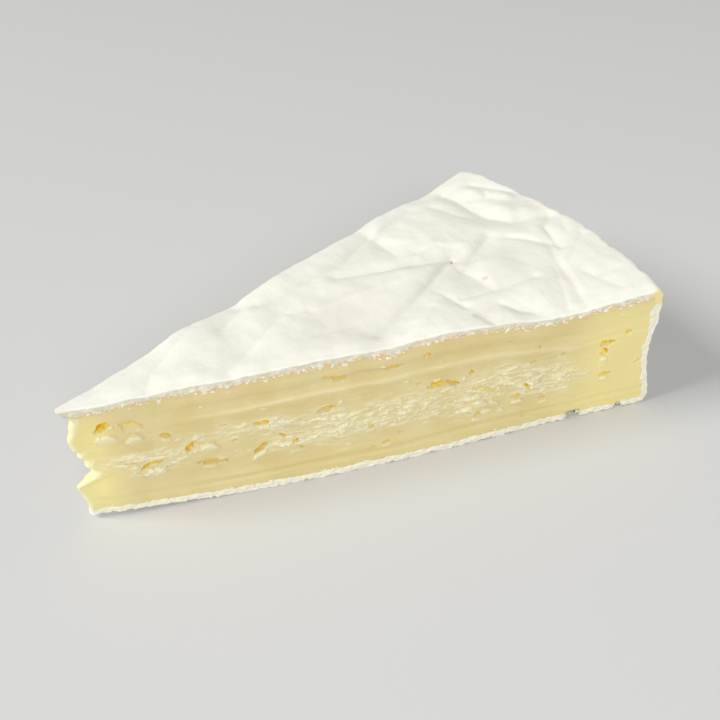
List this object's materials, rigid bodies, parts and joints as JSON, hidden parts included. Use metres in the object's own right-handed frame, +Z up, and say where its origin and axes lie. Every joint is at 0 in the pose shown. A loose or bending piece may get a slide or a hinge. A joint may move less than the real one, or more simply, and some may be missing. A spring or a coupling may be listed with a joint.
{
  "type": "brie cheese wedge",
  "caption": "Wedge cut from a round of soft white-rind cheese, with a folded top rind, a torn point, pitted creamy cut faces and a curved heel, resting on its flat base.",
  "frame": {"origin": "bottom centre of the bounding box, on the flat base the wedge rests on", "axes": "+X from the torn point to the curved heel, along the wedge's middle line; +Z up, through the top rind; the cut face the picture shows faces -Y"},
  "size_m": [0.1396, 0.0788, 0.0345],
  "materials": {
    "paste": "soft butter-yellow cheese paste, slightly moist",
    "rind": "dry, velvety white mould rind"
  },
  "bodies": {
    "root": {"brie_wedge": "paste"}
  },
  "joints": []
}
